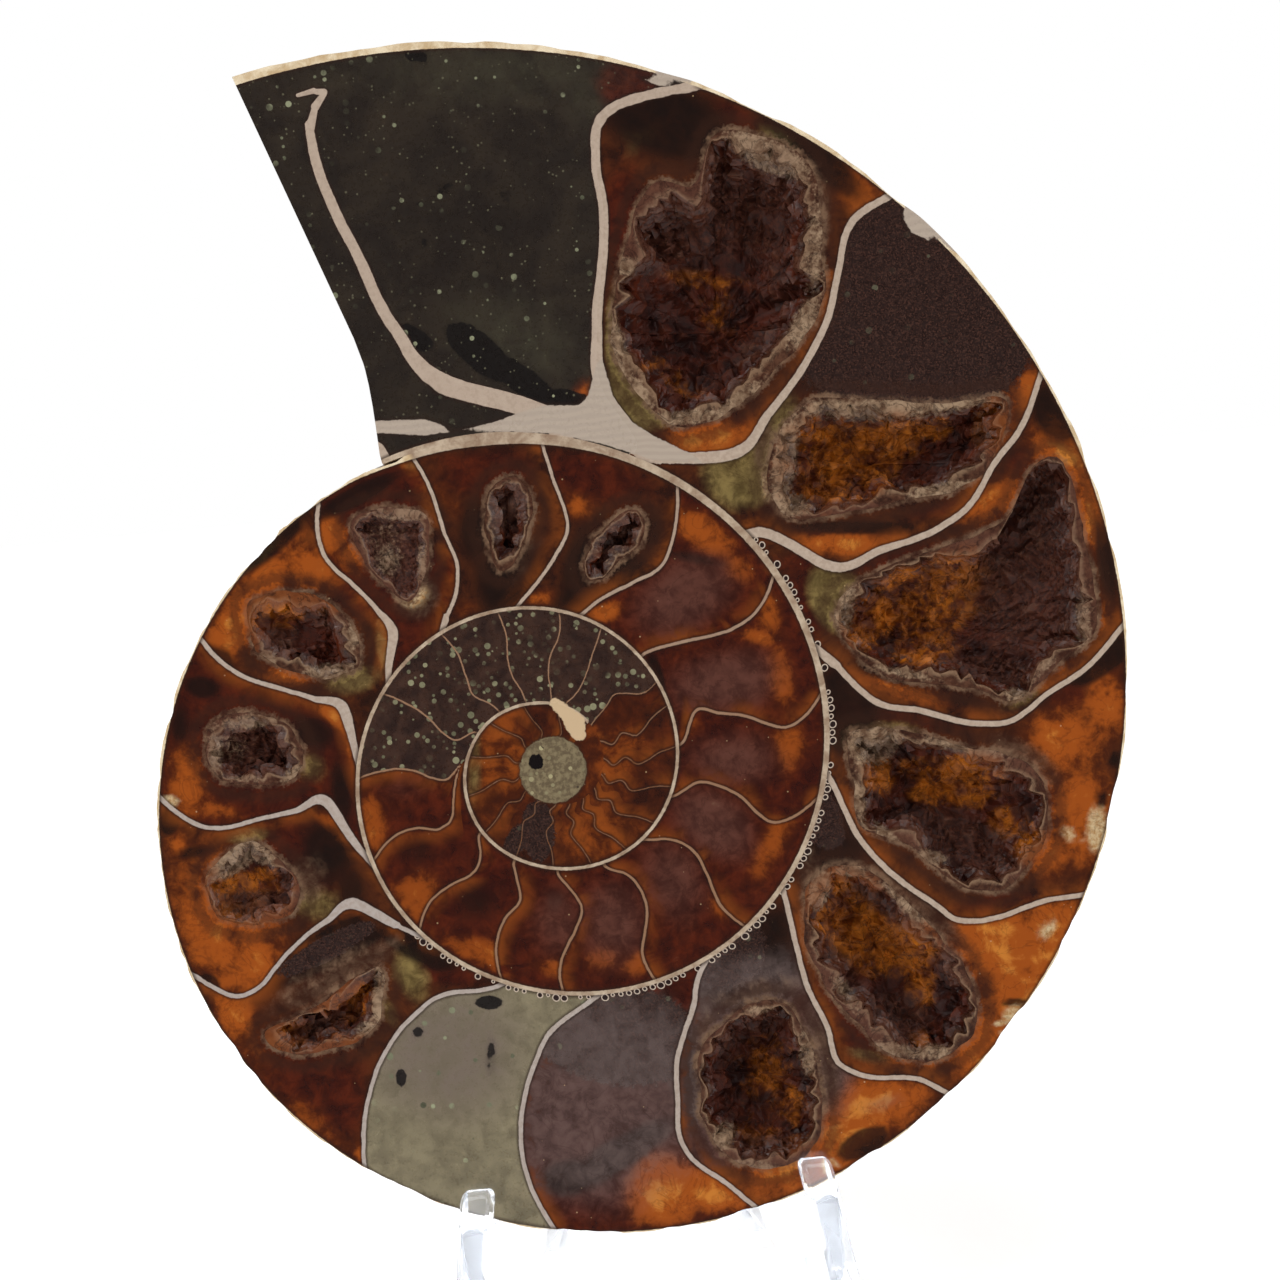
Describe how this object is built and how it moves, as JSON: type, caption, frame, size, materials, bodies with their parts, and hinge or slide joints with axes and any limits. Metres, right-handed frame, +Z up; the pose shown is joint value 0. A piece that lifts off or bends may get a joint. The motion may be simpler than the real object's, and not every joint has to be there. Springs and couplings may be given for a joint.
{
  "type": "ammonite fossil half on a display easel",
  "caption": "Sawn and polished half of a coiled ammonite with crystal-lined chambers, leaning on a small clear easel with hooked side arms",
  "frame": {"origin": "centre of the object's box in X and Y, on the surface that the easel's feet stand on", "axes": "+Z up; -Y is the side that the polished face looks towards, leaning back 12 degrees; +X to the right of someone looking at that face"},
  "size_m": [0.099, 0.054, 0.1348],
  "materials": {
    "polished_fossil": "polished amber, brown and black calcite with cream shell walls",
    "crystals": "grey to honey drusy calcite crystals",
    "clear_acrylic": "clear polished plastic with eased edges"
  },
  "bodies": {
    "root": {"fossil": "polished_fossil", "chamber_1_crystals": "crystals", "chamber_2_crystals": "crystals", "chamber_3_crystals": "crystals", "chamber_4_crystals": "crystals", "chamber_5_crystals": "crystals", "chamber_6_crystals": "crystals", "chamber_7_crystals": "crystals", "chamber_8_crystals": "crystals", "chamber_9_crystals": "crystals", "chamber_10_crystals": "crystals", "chamber_11_crystals": "crystals", "chamber_12_crystals": "crystals", "chamber_13_crystals": "crystals", "easel_left_arm": "clear_acrylic", "easel_right_arm": "clear_acrylic", "easel_front_web": "clear_acrylic", "easel_tie_bar": "clear_acrylic"}
  },
  "joints": []
}
